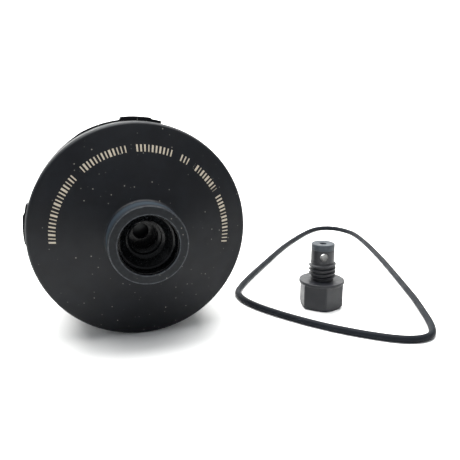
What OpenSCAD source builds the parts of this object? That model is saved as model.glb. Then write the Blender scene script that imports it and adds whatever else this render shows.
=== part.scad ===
// Bayonet oil filter canister with its drain plug and its housing seal, laid out as a kit.
// The canister lies on its side: its axis runs along Y, the disc faces -Y and the open
// mounting end faces +Y. The origin is the centre of the outlet bore's mouth, in the plane
// of the mounting face. All sizes are in millimetres.

/* [Canister] */
// Diameter of the round end disc and of the side wall
disc_d = 90; // [78:1:120]
// Distance from the disc's rim to the mounting face
canister_len = 54; // [45:1:80]
// Thickness of the moulded wall
wall = 3; // [2:0.5:4]
// Rise of the coned face from its rim to the foot of the hub
cone_rise = 12; // [6:0.5:14]
// Radius that rounds the rim of the disc
rim_round = 1.4; // [0.5:0.1:2.5]
// Draft of the side wall between the lugs and the collar
wall_draft = 0.7; // [0:0.1:1.2]

/* [Bayonet and collar] */
// Length of the collar that enters the filter housing
collar_len = 10; // [9:0.5:14]
// Step from the disc's radius in to the collar
collar_step = 3.6; // [2.5:0.1:4.5]
// Thickness of the collar's wall
collar_wall = 3.8; // [3:0.1:5]
// How far each lug stands out past the side wall
lug_reach = 1.8; // [1.2:0.1:3]
// Distance from the disc's rim to the lugs
lug_z = 13; // [8:0.5:20]
// Thickness of each lug along the axis
lug_t = 4.5; // [3:0.5:6]
// Width of each lug, in degrees
lug_angle = 22; // [15:1:30]
// How far the low rail behind each lug stands out
rail_reach = 0.65; // [0.4:0.05:1]
// Length of the low rail behind each lug, in degrees
rail_angle = 21; // [10:1:30]
// Angle of the first lug's leading edge seen from the disc, in degrees
lug_start = 75; // [60:1:90]
// Thickness of the collar's sealing ring
collar_seal_d = 2.2; // [1.8:0.1:2.4]

/* [Hub and drain port] */
// Outer diameter of the hub on the disc
hub_d = 30.4; // [28.4:0.2:40]
// Height of the hub above its foot
hub_h = 10.5; // [6:0.5:16]
// Radius that rounds the hub's face
hub_round = 1; // [0.5:0.1:1.5]
// Radius of the fillet at the hub's foot
foot_round = 1.6; // [0.8:0.1:2.5]
// Diameter of the mouth in the hub's face
mouth_d = 23.3; // [22:0.1:24.5]
// Depth of the lip round the mouth
lip_t = 0.9; // [0.5:0.1:1.5]
// Width of the dark relief between the lip and the threaded insert
relief_w = 0.5; // [0.3:0.1:1]
// Depth where the cone that the plug's flange sits on begins, from the hub's face
cone_depth = 6.5; // [5:0.5:8]
// Diameter of the throat below the cone
throat_d = 15.1; // [14:0.1:17]
// Depth of the throat's edge, from the hub's face
throat_depth = 9.5; // [9:0.5:11]
// Minor diameter of the drain port's thread
port_minor_d = 11.5; // [11.3:0.1:12.2]
// Depth of the first thread, from the hub's face
port_thread_depth = 12.5; // [12.5:0.5:14]
// Length of the drain port's threaded wall
port_thread_len = 6; // [5:0.5:8]
// Whole length of the threaded insert
insert_len = 28; // [27.5:0.5:32]
// Diameter of the drain hole that the plug's tip closes
seat_hole_d = 6.4; // [5:0.2:8]

/* [Inlet plate] */
// Thickness of the inlet plate
plate_t = 4; // [3.6:0.2:6]
// Distance from the mounting face down to the inlet plate
plate_recess = 4; // [4:0.5:6]
// Diameter of the outlet bore that slides over the engine's standpipe
outlet_d = 17; // [14:0.5:18]
// Thickness of the wall round the outlet bore
spigot_wall = 3; // [2.6:0.2:4]
// Number of inlet windows
window_count = 6; // [4:1:8]
// Width of each window across the radius
window_w = 7.5; // [5:0.5:8]

/* [Filter element] */
// Number of pleats in the paper
pleat_count = 48; // [32:4:64]
// Thickness of the paper along the radius of a pleat
pleat_t = 5; // [4:0.5:6]
// Outer radius of the perforated centre tube
tube_r = 16; // [15.5:0.1:17]
// Thickness of the element's end caps
cap_t = 2.5; // [2:0.5:3.5]

/* [Valves] */
// Travel of the bypass poppet
bypass_travel = 3.5; // [2:0.5:4]
// Travel of the anti-drain check disc
check_travel = 1.2; // [0.8:0.1:1.8]
// Radius of the bypass poppet's disc
poppet_r = 8.2; // [7.5:0.1:8.4]

/* [Drain plug] */
// Plug's place to the right of the axis
plug_x = 87.8; // [80:0.1:100]
// Plug's place in front of the mounting face
plug_y = -46.9; // [-50:0.1:-40]
// Width of the hexagonal head across its flats
hex_af = 19; // [17:0.1:19.2]
// Height of the hexagonal head
hex_h = 12.1; // [8:0.1:13]
// Diameter of the flange under the head
flange_d = 22; // [21:0.1:22]
// Thickness of the flange
flange_t = 1.5; // [1:0.1:2.5]
// Outer diameter of the plug's thread
thread_d = 13.1; // [12.8:0.1:14]
// Pitch of the plug's thread
thread_pitch = 2; // [1.5:0.25:2.5]
// Number of thread crests
thread_turns = 5; // [4:1:6]
// Diameter of the smooth nose above the thread
nose_d = 11.2; // [10:0.1:11.3]
// Length of the nose, with its rubber tip
nose_len = 8.2; // [7.9:0.1:10]
// Height of the rubber tip
tip_h = 3; // [2.5:0.1:3.5]
// Diameter of the cross hole through the nose
cross_d = 4; // [3:0.1:4.2]

/* [Seal ring] */
// Thickness of the loose seal's section
seal_d = 3.1; // [2.5:0.1:4]

/* [Hidden] */

$fn = 96;

// Clearances
fit_gap = 0.02;
slip_gap = 0.2;
guide_gap = 0.4;
seat_gap = 0.05;
nose_gap = 0.75;

// Radii of the canister
disc_r = disc_d / 2;
hub_r = hub_d / 2;
bowl_in_r = disc_r - wall;
collar_r = disc_r - collar_step;
collar_in_r = collar_r - collar_wall;
ledge_r = collar_in_r - 0.6;
lug_r = disc_r + lug_reach;
rail_r = disc_r + rail_reach;
plate_r = collar_in_r - slip_gap;
element_r = ledge_r - slip_gap;
outlet_r = outlet_d / 2;
spigot_r = outlet_r + spigot_wall;

// Places along the canister's axis, from the disc's rim towards the mounting face
hub_face_z = -cone_rise - hub_h;
insert_top_z = hub_face_z + lip_t + relief_w;
insert_end_z = hub_face_z + insert_len;
plate_back_z = canister_len - plate_recess;
plate_front_z = plate_back_z - plate_t;
check_t = 1.2;
check_space = check_t + check_travel + 1.6;
rear_cap_back_z = plate_front_z - check_space;
rear_cap_front_z = rear_cap_back_z - cap_t;
front_cap_front_z = insert_end_z + 2.5;
front_cap_back_z = front_cap_front_z + cap_t;
media_len = rear_cap_front_z - front_cap_back_z;
collar_z = canister_len - collar_len;

// Coned face, which meets the rim's rounding without a corner
rim_a = 68;
rim_start_r = disc_r - rim_round * (1 - cos(rim_a));
rim_start_z = rim_round * (1 - sin(rim_a));
cone_a = atan(cone_rise / (rim_start_r - hub_r));

// Lugs: the three spacings differ, so that the canister only enters one way round
lug_turns = [0, 90, 225];
lead_angle = 6;
lead_drop = 0.5;
rail_fade = 10;

// Insert in the hub
insert_head_r = 13;
insert_head_len = 9;
insert_body_r = 10;
relief_r = mouth_d / 2 + 0.65;
recess_r = mouth_d / 2 - 0.35;
recess_taper = 0.25;
boss_r = insert_body_r + wall;

// Element
cap_rim_t = 0.8;
cap_rim_h = 2.5;
cap_hole_r = spigot_r + 2.6;
wrap_out_r = element_r - cap_rim_t - slip_gap;
wrap_t = 0.6;
media_out_r = wrap_out_r - wrap_t - slip_gap;
media_in_r = tube_r + 0.4;
tube_t = 1.5;
bypass_r = 10.4;

// Valves
seat_ring_h = 3;
poppet_t = 1.4;
poppet_z = front_cap_front_z + 0.5 + seat_ring_h + seat_gap;
stem_r = 2;
retainer_z = poppet_z + poppet_t + bypass_travel + 4.1;
retainer_t = 1.2;
stem_len = retainer_z + retainer_t + 2.2 - poppet_z - poppet_t;
cage_len = retainer_z + retainer_t - poppet_z + 1;
leg_angle = 34;
tab_angle = 18;
check_in_r = spigot_r + guide_gap;
window_in_r = spigot_r + 8;
window_out_r = window_in_r + window_w;
check_out_r = window_out_r + 2;

// Element spring
element_wire_r = 0.9;
element_coil_r = boss_r + 3;
spring_seat_t = 1;

// Drain plug, from the surface it stands on
floor_z = -disc_r;
thread_z = hex_h + flange_t;
thread_len = thread_turns * thread_pitch;
nose_z = thread_z + thread_len;
plug_h = nose_z + nose_len;
tip_z = plug_h - tip_h;
post_r = nose_d / 2 - 1.5;
hex_chamfer = 1.3;
corner_trim = 0.2;
hex_turn = 16;
cross_turn = 70.4;
cross_z = tip_z - cross_d / 2 - 1;

// Route of the loose seal, as points on the surface that the kit lies on
seal_route = [
    [140, -44.5], [160, 10], [174, 55], [178, 80], [170, 97], [152, 94], [118, 62], [85, 22.5],
    [58, -12.5], [52, -28], [58, -47.5], [76, -73.5], [97, -92.5], [111, -96.5], [120.5, -88.5], [132, -64.5]
];
seal_steps = 5;

// Turns a shape drawn along +Z, with its rim plane at zero, into its place along Y
module along_axis() {
    translate([0, -canister_len, 0])
        rotate([-90, 0, 0])
            children();
}

// Ring between two radii and two heights
module ring(r_in, r_out, z_low, z_high) {
    rotate_extrude()
        translate([r_in, z_low])
            square([r_out - r_in, z_high - z_low]);
}

// Part of such a ring, between two angles seen from the disc
module arc_ring(r_in, r_out, z_low, z_high, a_start, a_width) {
    rotate([0, 0, -a_start - a_width])
        rotate_extrude(angle = a_width)
            translate([r_in, z_low])
                square([r_out - r_in, z_high - z_low]);
}

// Round seal: a ring with a round section
module round_seal(ring_r, z_mid, section_r) {
    translate([0, 0, z_mid])
        rotate_extrude()
            translate([ring_r, 0])
                circle(r = section_r, $fn = 32);
}

// Height of the coned face at a radius
function cone_z(r) = rim_start_z - cone_rise * (rim_start_r - r) / (rim_start_r - hub_r);

// Points of an arc in the plane
function arc_points(cx, cy, r, a0, a1, steps) =
    [for (i = [0:steps])
        let (a = a0 + (a1 - a0) * i / steps)
        [cx + r * cos(a), cy + r * sin(a)]];

// Points on a closed smooth curve through a route's points
function spline_point(p0, p1, p2, p3, t) =
    0.5 * (2 * p1 + (p2 - p0) * t + (2 * p0 - 5 * p1 + 4 * p2 - p3) * t * t
    + (3 * p1 - p0 - 3 * p2 + p3) * t * t * t);
function closed_spline(route, steps) =
    let (n = len(route))
    [for (i = [0:n - 1], s = [0:steps - 1])
        spline_point(route[(i + n - 1) % n], route[i], route[(i + 1) % n], route[(i + 2) % n], s / steps)];

function unit(v) = v / norm(v);

// Section points round one point of a path that runs along a direction
function section(centre, along, r, sides) =
    let (side = unit(cross([0, 0, 1], along)), up = unit(cross(along, side)))
    [for (j = [0:sides - 1])
        let (a = 360 * (j + 0.5) / sides)
        centre + r * (side * cos(a) + up * sin(a))];

// Tube swept along a path, closed on itself or capped at both ends
module swept_tube(path, r, sides, closed) {
    n = len(path);
    last = closed ? n - 1 : n - 2;
    directions = [for (i = [0:n - 1])
        closed ? path[(i + 1) % n] - path[(i + n - 1) % n] : path[min(i + 1, n - 1)] - path[max(i - 1, 0)]];
    points = [for (i = [0:n - 1]) each section(path[i], directions[i], r, sides)];
    walls = [for (i = [0:last], j = [0:sides - 1])
        let (k = (i + 1) % n, m = (j + 1) % sides)
        [i * sides + j, i * sides + m, k * sides + m, k * sides + j]];
    caps = closed ? [] : [[for (j = [sides - 1:-1:0]) j], [for (j = [0:sides - 1]) (n - 1) * sides + j]];
    polyhedron(points = points, faces = concat(walls, caps), convexity = 6);
}

// Coil spring from one height to another, its mean radius changing evenly
module coil(r_low, r_high, wire_r, z_low, z_high, turns) {
    steps = 20;
    count = round(turns * steps);
    path = [for (i = [0:count])
        let (f = i / count, r = r_low + (r_high - r_low) * f, a = 360 * i / steps)
        [r * cos(a), r * sin(a), z_low + wire_r + (z_high - z_low - 2 * wire_r) * f]];
    swept_tube(path, wire_r, 8, false);
}

// One bayonet lug: a lead-in, a level block, and a low rail that fades into the wall
module lug(a_start) {
    foot_r = disc_r - 0.8;
    level_a = lug_angle + rail_angle;
    end_a = level_a + rail_fade;
    rotate([0, 0, -a_start])
        translate([0, 0, lug_z])
            linear_extrude(lug_t)
                polygon(concat(
                    arc_points(0, 0, lug_r - lead_drop, 0, -lead_angle, 4),
                    arc_points(0, 0, lug_r, -lead_angle, -lug_angle, 8),
                    arc_points(0, 0, rail_r, -lug_angle, -level_a, 10),
                    arc_points(0, 0, foot_r, -end_a, 0, 20)
                ));
}

module bowl() {
    foot_end_r = hub_r + foot_round * (1 - sin(cone_a));
    foot_mid_z = cone_z(foot_end_r) - foot_round * cos(cone_a);
    inner_end_r = bowl_in_r - 2;
    color("#26282b")
        along_axis()
            difference() {
                union() {
                    rotate_extrude()
                        polygon(concat(
                            [[mouth_d / 2, hub_face_z]],
                            arc_points(hub_r - hub_round, hub_face_z + hub_round, hub_round, -90, 0, 4),
                            arc_points(hub_r + foot_round, foot_mid_z, foot_round, 180, 90 + cone_a, 4),
                            arc_points(disc_r - rim_round, rim_round, rim_round, -rim_a, 0, 4),
                            [
                                [disc_r, lug_z + lug_t + 2], [disc_r - wall_draft, collar_z],
                                [collar_r, collar_z],
                                [collar_r, canister_len], [collar_in_r, canister_len],
                                [collar_in_r, plate_front_z], [ledge_r, plate_front_z],
                                [ledge_r, collar_z], [bowl_in_r, collar_z - 3],
                                [bowl_in_r, wall + 2], [inner_end_r, cone_z(inner_end_r) + wall],
                                [hub_r, cone_z(hub_r) + wall], [boss_r, cone_z(hub_r) + wall],
                                [boss_r, insert_end_z - 2], [insert_body_r + fit_gap, insert_end_z - 2],
                                [insert_body_r + fit_gap, insert_top_z + insert_head_len + fit_gap],
                                [insert_head_r + fit_gap, insert_top_z + insert_head_len + fit_gap],
                                [insert_head_r + fit_gap, insert_top_z - fit_gap],
                                [relief_r, insert_top_z - fit_gap], [relief_r, hub_face_z + lip_t],
                                [mouth_d / 2, hub_face_z + lip_t]
                            ]
                        ));
                    for (turn = lug_turns)
                        lug(lug_start + turn);
                }
                seal_groove();
                retaining_groove();
            }
}

// Groove round the collar for its sealing ring
module seal_groove() {
    ring(collar_r - collar_seal_d * 0.8, disc_r + 1, collar_z + 1.2, collar_z + 1.4 + collar_seal_d);
}

// Groove inside the collar for the plate's retaining ring
module retaining_groove() {
    ring(collar_in_r - 1, collar_in_r + 1.6, plate_back_z + seat_gap, plate_back_z + 1.5);
}

module port_insert() {
    seat_z = hub_face_z + cone_depth + thread_len + nose_len + slip_gap;
    color("#101113")
        along_axis()
            rotate_extrude()
                polygon([
                    [recess_r, insert_top_z], [insert_head_r, insert_top_z],
                    [insert_head_r, insert_top_z + insert_head_len],
                    [insert_body_r, insert_top_z + insert_head_len],
                    [insert_body_r, insert_end_z], [seat_hole_d / 2, insert_end_z],
                    [seat_hole_d / 2, seat_z], [nose_d / 2 + nose_gap, seat_z],
                    [nose_d / 2 + nose_gap, hub_face_z + port_thread_depth + port_thread_len],
                    [port_minor_d / 2, hub_face_z + port_thread_depth + port_thread_len],
                    [port_minor_d / 2, hub_face_z + port_thread_depth],
                    [throat_d / 2, hub_face_z + port_thread_depth - 0.5],
                    [throat_d / 2, hub_face_z + throat_depth],
                    [recess_r - recess_taper, hub_face_z + cone_depth]
                ]);
}

module inlet_plate() {
    groove_z = plate_front_z + 1;
    color("#35373a")
        along_axis()
            difference() {
                union() {
                    ring(outlet_r, plate_r, plate_front_z, plate_back_z);
                    ring(outlet_r, spigot_r, rear_cap_front_z, canister_len);
                }
                ring(plate_r - 1.85, plate_r + 1, groove_z, groove_z + 2.1);
                ring(outlet_r - 1, outlet_r + 1.4, rear_cap_front_z + 1, rear_cap_front_z + 3);
                for (i = [0:window_count - 1])
                    arc_ring(window_in_r, window_out_r, plate_front_z - 1, plate_back_z + 1,
                        360 / window_count * i, 240 / window_count);
            }
}

module plate_retaining_ring() {
    gap_a = 22;
    z_low = plate_back_z + 0.1;
    z_high = plate_back_z + 1.4;
    ring_in_r = collar_in_r - 1.8;
    ear_r = 2;
    color("#9a9ca0")
        along_axis()
            difference() {
                union() {
                    arc_ring(ring_in_r, collar_in_r + 1.4, z_low, z_high, 270 + gap_a / 2, 360 - gap_a);
                    for (side = [-1, 1])
                        rotate([0, 0, 90 + side * (gap_a / 2 + 3)])
                            translate([ring_in_r - 0.6, 0, z_low])
                                cylinder(r = ear_r, h = z_high - z_low, $fn = 32);
                }
                for (side = [-1, 1])
                    rotate([0, 0, 90 + side * (gap_a / 2 + 3)])
                        translate([ring_in_r - 0.6, 0, z_low - 1])
                            cylinder(r = 0.9, h = z_high - z_low + 2, $fn = 24);
            }
}

module plate_seal() {
    color("#1c1d1f")
        along_axis()
            round_seal(plate_r - 0.85, plate_front_z + 2.05, 0.95);
}

module collar_seal() {
    section_r = collar_seal_d / 2;
    color("#1a1b1d")
        along_axis()
            round_seal(collar_r - collar_seal_d * 0.8 + section_r + seat_gap,
                collar_z + 1.3 + section_r, section_r);
}

module outlet_seal() {
    color("#1c1d1f")
        along_axis()
            round_seal(outlet_r + 0.75, rear_cap_front_z + 2, 0.6);
}

// Closed zigzag outline, its tips and roots alternating between two radii
function zigzag(tip_r, root_r) =
    [for (i = [0:2 * pleat_count - 1])
        let (a = 180 * i / pleat_count, r = i % 2 == 0 ? tip_r : root_r)
        [r * cos(a), r * sin(a)]];

module pleated_media() {
    color("#d8b26a")
        along_axis()
            translate([0, 0, front_cap_back_z])
                linear_extrude(media_len)
                    difference() {
                        polygon(zigzag(media_out_r, media_in_r + pleat_t));
                        polygon(zigzag(media_out_r - pleat_t, media_in_r));
                    }
}

// Wall with rows of windows cut through it
module windowed_tube(r_out, t, z_low, z_high, columns, rows, window_a) {
    row_h = (z_high - z_low) / rows;
    rib_a = 360 / columns - window_a;
    difference() {
        ring(r_out - t, r_out, z_low, z_high);
        for (row = [0:rows - 1], column = [0:columns - 1])
            arc_ring(r_out - t - 1, r_out + 1, z_low + row_h * (row + 0.2), z_low + row_h * (row + 0.8),
                360 / columns * column + rib_a / 2, window_a);
    }
}

module outer_wrap() {
    color("#e4e0d4")
        along_axis()
            windowed_tube(wrap_out_r, wrap_t, front_cap_back_z, rear_cap_front_z, 16, 2, 16);
}

module centre_tube() {
    color("#3a3c40")
        along_axis()
            windowed_tube(tube_r, tube_t, front_cap_back_z, rear_cap_front_z, 8, 3, 30);
}

module front_end_cap() {
    color("#2f6f55")
        along_axis() {
            ring(bypass_r + fit_gap, element_r, front_cap_front_z, front_cap_back_z);
            ring(element_r - cap_rim_t, element_r, front_cap_back_z, front_cap_back_z + cap_rim_h);
        }
}

module rear_end_cap() {
    color("#2f6f55")
        along_axis() {
            ring(cap_hole_r, element_r, rear_cap_front_z, rear_cap_back_z);
            ring(element_r - cap_rim_t, element_r, rear_cap_front_z - cap_rim_h, rear_cap_front_z);
        }
}

module element_grommet() {
    neck_r = cap_hole_r - fit_gap;
    color("#202124")
        along_axis()
            rotate_extrude()
                polygon([
                    [spigot_r + fit_gap, rear_cap_front_z + 0.2], [neck_r, rear_cap_front_z + 0.2],
                    [neck_r, rear_cap_back_z + fit_gap], [neck_r + 1.2, rear_cap_back_z + fit_gap],
                    [neck_r + 0.8, rear_cap_back_z + 0.9], [spigot_r + fit_gap, rear_cap_back_z + 0.9]
                ]);
}

module check_disc() {
    disc_z = plate_front_z - seat_gap - check_t;
    color("#a4442e")
        along_axis() {
            ring(check_in_r, check_out_r, disc_z, disc_z + check_t);
            ring(check_out_r - 1.5, check_out_r, disc_z - 0.6, disc_z);
        }
}

module check_spring() {
    spring_r = cap_hole_r + 5;
    color("#b9bbbf")
        along_axis()
            coil(spring_r, spring_r + 1.5, 0.25, rear_cap_back_z + seat_gap,
                plate_front_z - seat_gap - check_t - seat_gap, 2);
}

module bypass_seat() {
    low_z = front_cap_front_z + 0.5;
    top_z = low_z + seat_ring_h;
    color("#47494d")
        along_axis()
            difference() {
                union() {
                    ring(poppet_r - 2, bypass_r, low_z, top_z);
                    ring(bypass_r - 1, bypass_r + 2, front_cap_back_z + fit_gap, top_z);
                    for (i = [0:2])
                        arc_ring(poppet_r + guide_gap, bypass_r, top_z - 0.5, top_z + cage_len,
                            120 * i, leg_angle);
                }
                for (i = [0:2])
                    arc_ring(poppet_r, bypass_r + 1, retainer_z - fit_gap, retainer_z + retainer_t + fit_gap,
                        120 * i + leg_angle / 2 - tab_angle / 2 - 1, tab_angle + 2);
            }
}

module bypass_poppet() {
    color("#2c2e32")
        along_axis() {
            translate([0, 0, poppet_z])
                cylinder(r = poppet_r, h = poppet_t);
            translate([0, 0, poppet_z + poppet_t])
                cylinder(r = stem_r, h = stem_len, $fn = 48);
        }
}

module bypass_spring() {
    color("#b9bbbf")
        along_axis()
            coil(5.4, 5.4, 0.4, poppet_z + poppet_t + seat_gap, retainer_z - seat_gap, 4.5);
}

module bypass_retainer() {
    top_z = retainer_z + retainer_t;
    color("#8f9296")
        along_axis()
            difference() {
                union() {
                    ring(stem_r + slip_gap, poppet_r, retainer_z, top_z);
                    for (i = [0:2])
                        arc_ring(poppet_r - 1, bypass_r, retainer_z, top_z,
                            120 * i + leg_angle / 2 - tab_angle / 2, tab_angle);
                }
                for (i = [0:2])
                    rotate([0, 0, 120 * i + 60])
                        arc_ring(4, 6.6, retainer_z - 1, top_z + 1, 0, 50);
            }
}

module element_spring() {
    color("#b9bbbf")
        along_axis()
            coil(element_coil_r, element_coil_r, element_wire_r, spring_foot_z(), spring_seat_z(), 3.5);
}

// Height of the bowl's inner face under the element spring, which is level inside the hub's
// radius, and of the seat above it
function spring_foot_z() = cone_z(max(hub_r, element_coil_r + element_wire_r)) + wall + seat_gap;
function spring_seat_z() = front_cap_front_z - spring_seat_t - 2 * seat_gap;

module spring_seat() {
    seat_z = front_cap_front_z - seat_gap;
    color("#8f9296")
        along_axis() {
            ring(element_coil_r - 3, element_coil_r + 4, seat_z - spring_seat_t, seat_z);
            ring(element_coil_r + 3, element_coil_r + 4, seat_z - 3, seat_z - spring_seat_t);
        }
}

// Half outline of the thread: one crest for each turn
function thread_outline() =
    let (root_r = thread_d / 2 - 0.55 * thread_pitch, crest_r = thread_d / 2)
    [for (i = [0:thread_turns - 1])
        let (z = thread_z + thread_pitch * i, top_r = i == thread_turns - 1 ? crest_r - 0.4 : crest_r)
        each [
            [root_r, z + 0.1 * thread_pitch], [top_r, z + 0.4 * thread_pitch],
            [top_r, z + 0.6 * thread_pitch], [root_r, z + 0.9 * thread_pitch]
        ]];

module drain_plug() {
    corner_r = hex_af / 2 / cos(30);
    trim_r = corner_r - corner_trim;
    flange_r = flange_d / 2;
    color("#3c3f44")
        translate([plug_x, plug_y, floor_z])
            difference() {
                union() {
                    intersection() {
                        rotate([0, 0, hex_turn])
                            cylinder(r = corner_r, h = hex_h, $fn = 6);
                        rotate_extrude()
                            polygon([
                                [0, 0], [trim_r - hex_chamfer, 0], [trim_r, hex_chamfer],
                                [trim_r, hex_h], [0, hex_h]
                            ]);
                    }
                    translate([0, 0, hex_h])
                        cylinder(r = flange_r, h = flange_t);
                    rotate_extrude()
                        polygon(concat(
                            [[0, thread_z - 0.01], [nose_d / 2, thread_z - 0.01]],
                            thread_outline(),
                            [
                                [nose_d / 2, nose_z], [nose_d / 2, tip_z],
                                [post_r, tip_z], [post_r, plug_h - 1.6], [0, plug_h - 1.6]
                            ]
                        ));
                }
                translate([0, 0, cross_z])
                    rotate([0, 90, cross_turn])
                        cylinder(r = cross_d / 2, h = 2 * nose_d, center = true, $fn = 48);
            }
}

module plug_tip_seal() {
    tip_r = nose_d / 2;
    color("#55585e")
        translate([plug_x, plug_y, floor_z])
            rotate_extrude()
                polygon([
                    [post_r + fit_gap, tip_z + fit_gap], [tip_r, tip_z + fit_gap],
                    [tip_r, plug_h - 0.5], [tip_r - 0.5, plug_h], [1.6, plug_h],
                    [1.6, plug_h - 1.6 + fit_gap], [post_r + fit_gap, plug_h - 1.6 + fit_gap]
                ]);
}

module seal_ring() {
    route = closed_spline(seal_route, seal_steps);
    mid_z = floor_z + seal_d / 2;
    corner_r = seal_d / 2 / cos(22.5);
    color("#2b2e34")
        swept_tube([for (p = route) [p[0], p[1], mid_z]], corner_r, 8, true);
}

bowl();
port_insert();
inlet_plate();
plate_retaining_ring();
plate_seal();
collar_seal();
outlet_seal();
pleated_media();
outer_wrap();
centre_tube();
front_end_cap();
rear_end_cap();
element_grommet();
check_disc();
check_spring();
bypass_seat();
bypass_poppet();
bypass_spring();
bypass_retainer();
element_spring();
spring_seat();
drain_plug();
plug_tip_seal();
seal_ring();
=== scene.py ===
import logging
import math
from dataclasses import dataclass, field
from enum import Enum
from typing import Any, Callable, Iterable

import bmesh
import bpy
from mathutils import Matrix, Vector


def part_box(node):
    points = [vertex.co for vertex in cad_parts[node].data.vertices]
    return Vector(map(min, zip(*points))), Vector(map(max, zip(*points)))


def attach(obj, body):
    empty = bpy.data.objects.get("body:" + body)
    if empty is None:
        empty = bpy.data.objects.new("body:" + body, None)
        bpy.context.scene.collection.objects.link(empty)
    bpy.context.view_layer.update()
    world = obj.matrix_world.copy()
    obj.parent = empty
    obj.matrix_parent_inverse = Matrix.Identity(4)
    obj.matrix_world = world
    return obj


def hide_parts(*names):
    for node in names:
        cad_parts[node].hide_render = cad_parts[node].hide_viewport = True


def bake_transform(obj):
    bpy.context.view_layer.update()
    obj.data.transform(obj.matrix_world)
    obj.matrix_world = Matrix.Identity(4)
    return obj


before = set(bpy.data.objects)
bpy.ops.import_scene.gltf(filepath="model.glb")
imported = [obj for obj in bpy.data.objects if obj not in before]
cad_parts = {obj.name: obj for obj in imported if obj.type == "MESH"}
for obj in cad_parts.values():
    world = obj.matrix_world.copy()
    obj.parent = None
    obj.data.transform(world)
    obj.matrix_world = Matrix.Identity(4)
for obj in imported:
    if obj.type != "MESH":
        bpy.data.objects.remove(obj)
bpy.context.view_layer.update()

MM = 0.001
FULL_TURN = 2 * math.pi
WELD = 1e-7
LOG = logging.getLogger("oil_filter")

Mesh = bmesh.types.BMesh
Piece = bpy.types.Object
Material = bpy.types.Material
Tree = bpy.types.NodeTree
Socket = bpy.types.NodeSocket
Colour = tuple[float, float, float, float]
OutlinePoint = tuple[float, float, float]


# ---------------------------------------------------------------- helpers


def linear(code: str) -> Colour:
    """Turn an sRGB hex colour into linear light.

    Args:
        code: Six hex digits, with or without a leading hash.

    Returns:
        Linear red, green and blue, with an alpha of one.
    """
    digits = code.lstrip("#")
    shares = [int(digits[i:i + 2], 16) / 255 for i in (0, 2, 4)]
    light = [s / 12.92 if s <= 0.04045 else ((s + 0.055) / 1.055) ** 2.4 for s in shares]
    return (light[0], light[1], light[2], 1.0)


def per_metre(size_mm: float) -> float:
    """Scale of a pattern whose features are size_mm across."""
    return 1 / (size_mm * MM)


def add(tree: Tree, kind: str, inputs: dict[Any, Any] | None = None, **settings: Any) -> bpy.types.Node:
    """Add one shader node.

    Args:
        tree: The node tree that takes it.
        kind: The node's type name.
        inputs: Values or output sockets, by input name or index.
        settings: The node's own properties.

    Returns:
        The new node.
    """
    made = tree.nodes.new(kind)
    for name, value in settings.items():
        setattr(made, name, value)
    for key, value in (inputs or {}).items():
        if isinstance(value, Socket):
            tree.links.new(value, made.inputs[key])
        else:
            made.inputs[key].default_value = value
    return made


def finish_mesh(bm: Mesh, name: str, sharp_deg: float = 32) -> Piece:
    """Make an object of a mesh, with smooth faces and sharp corners.

    Args:
        bm: The mesh, in the row frame; it is freed.
        name: The piece's name.
        sharp_deg: Corners above this angle stay sharp.

    Returns:
        The new object, at the origin.
    """
    mesh = bpy.data.meshes.new(name)
    bm.to_mesh(mesh)
    bm.free()
    mesh.shade_smooth()
    mesh.set_sharp_from_angle(angle=math.radians(sharp_deg))
    made = bpy.data.objects.new(name, mesh)
    bpy.context.scene.collection.objects.link(made)
    return made


def turned(outline: Iterable[OutlinePoint], steps: int = 160, round_steps: int = 3) -> Mesh:
    """Spin a half outline round the Z axis into a closed solid.

    Args:
        outline: Radius, height and corner rounding of each point, in millimetres.
        steps: Number of steps round the axis.
        round_steps: Segments of each rounded corner.

    Returns:
        The solid's mesh, in metres, with its axis on Z.
    """
    bm = bmesh.new()
    points = list(outline)
    corners = [bm.verts.new((r * MM, 0, z * MM)) for r, z, _ in points]
    bm.faces.new(corners)
    for corner, (_, _, rounding) in zip(corners, points):
        if rounding > 0:
            bmesh.ops.bevel(bm, geom=[corner], offset=rounding * MM, offset_type="OFFSET",
                            segments=round_steps,
                            profile=0.5, affect="VERTICES", clamp_overlap=True, material=-1)
    bmesh.ops.delete(bm, geom=bm.faces[:], context="FACES_ONLY")
    axis_edges = [e for e in bm.edges if all(abs(v.co.x) < WELD for v in e.verts)]
    bmesh.ops.delete(bm, geom=axis_edges, context="EDGES")
    bmesh.ops.spin(bm, geom=bm.verts[:] + bm.edges[:], cent=(0, 0, 0), axis=(0, 0, 1), dvec=(0, 0, 0),
                   angle=FULL_TURN, steps=steps, use_merge=True, use_duplicate=False)
    bmesh.ops.remove_doubles(bm, verts=bm.verts, dist=WELD)
    bmesh.ops.recalc_face_normals(bm, faces=bm.faces)
    return bm


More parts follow.
